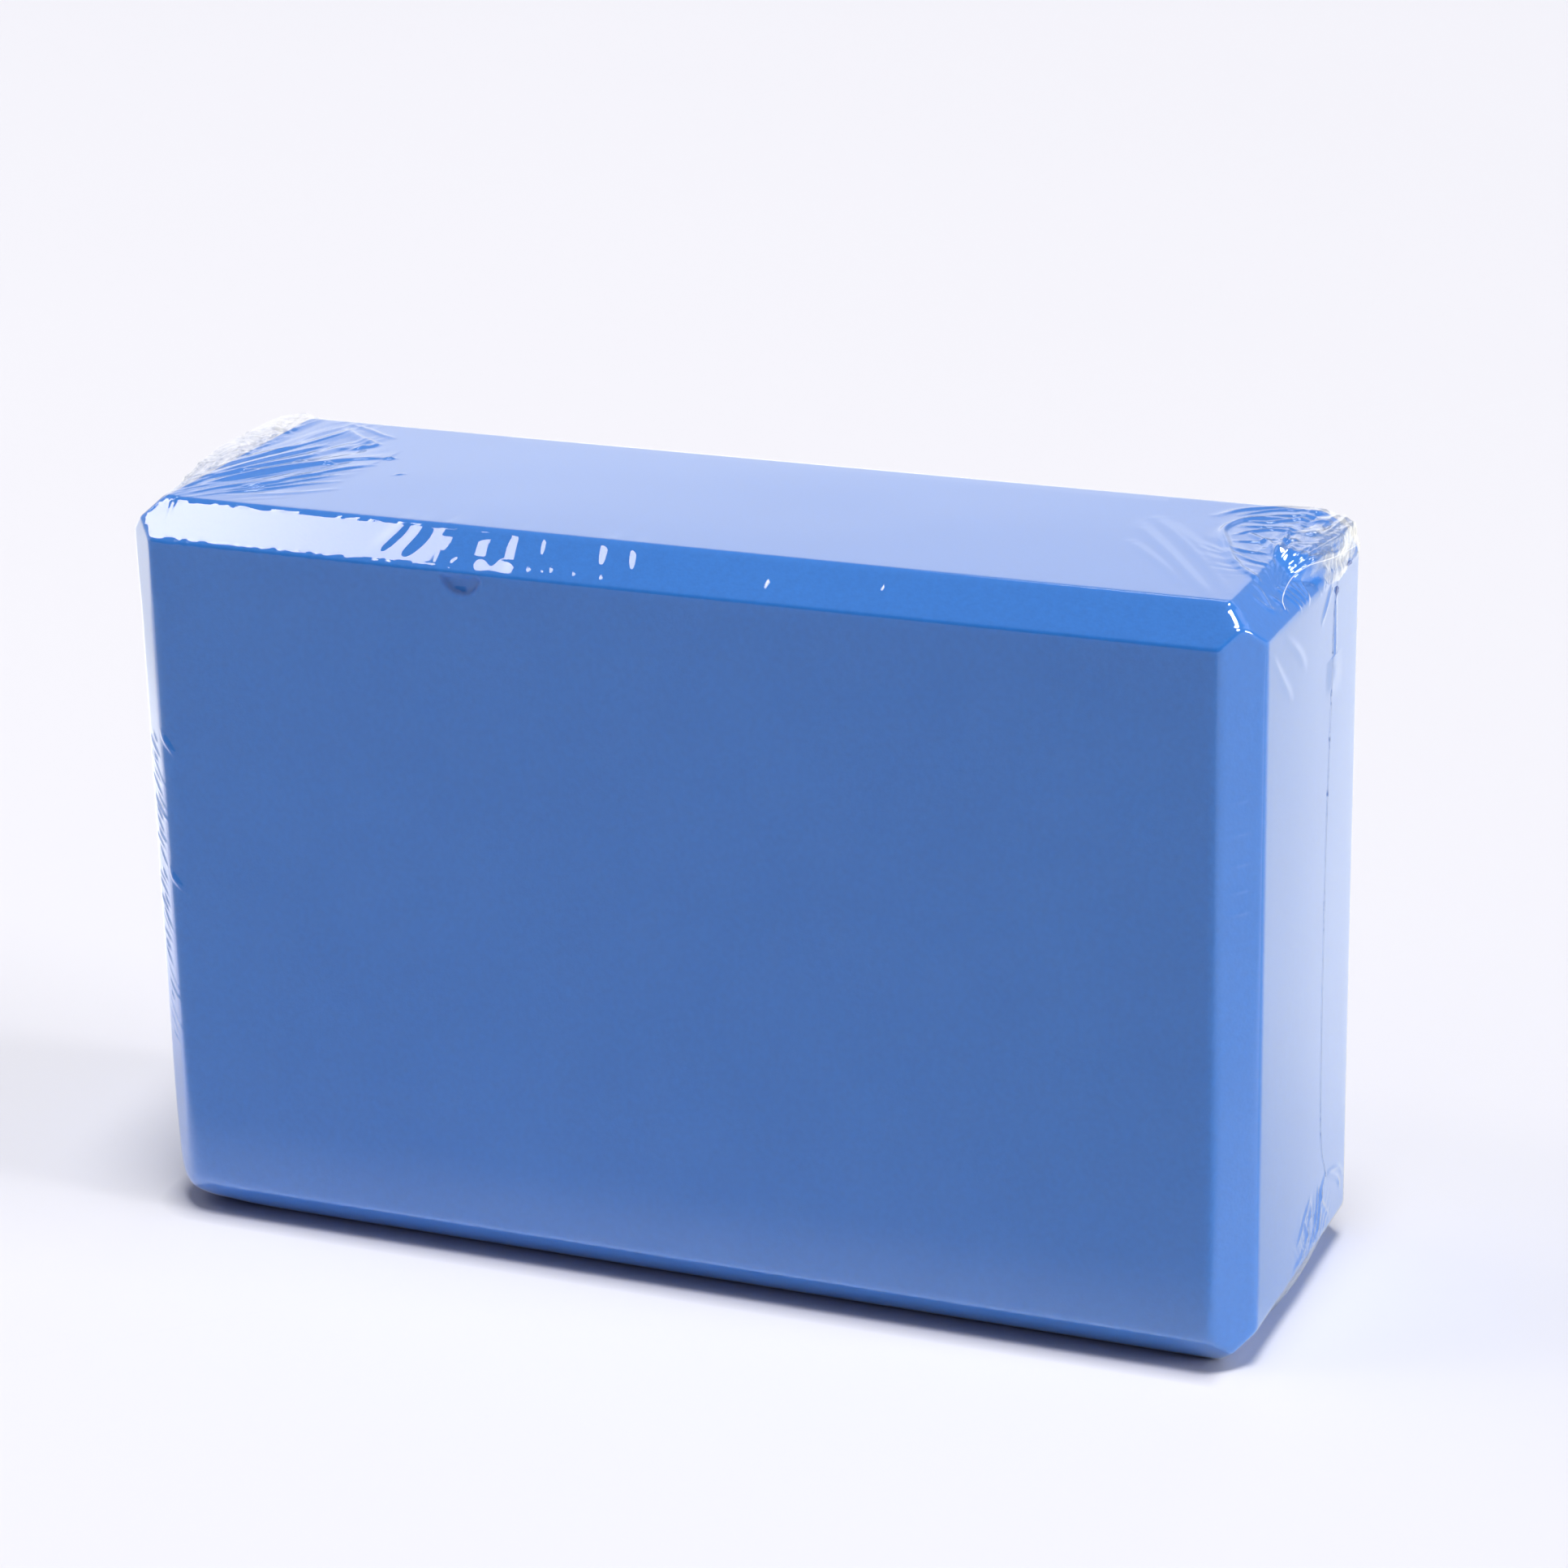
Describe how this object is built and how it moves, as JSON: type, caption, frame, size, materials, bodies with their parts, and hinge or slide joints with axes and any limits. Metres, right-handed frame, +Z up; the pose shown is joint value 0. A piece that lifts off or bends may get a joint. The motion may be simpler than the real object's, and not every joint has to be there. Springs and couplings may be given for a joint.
{
  "type": "foam block",
  "caption": "Bevelled brick of closed-cell foam for exercise or propping, standing on its long narrow side and sealed in tight clear shrink film.",
  "frame": {"origin": "middle of the footprint, on the surface that the wrapped block stands on", "axes": "+X along the length, +Y from the front large face to the back one, +Z up"},
  "size_m": [0.231, 0.0752, 0.1511],
  "materials": {
    "foam": "matt closed-cell foam skin with fine even pores",
    "film": "thin clear glossy film, shrunk tight, wrinkled at the ends of its welds"
  },
  "bodies": {
    "root": {"foam_block": "foam", "shrink_film": "film"}
  },
  "joints": []
}
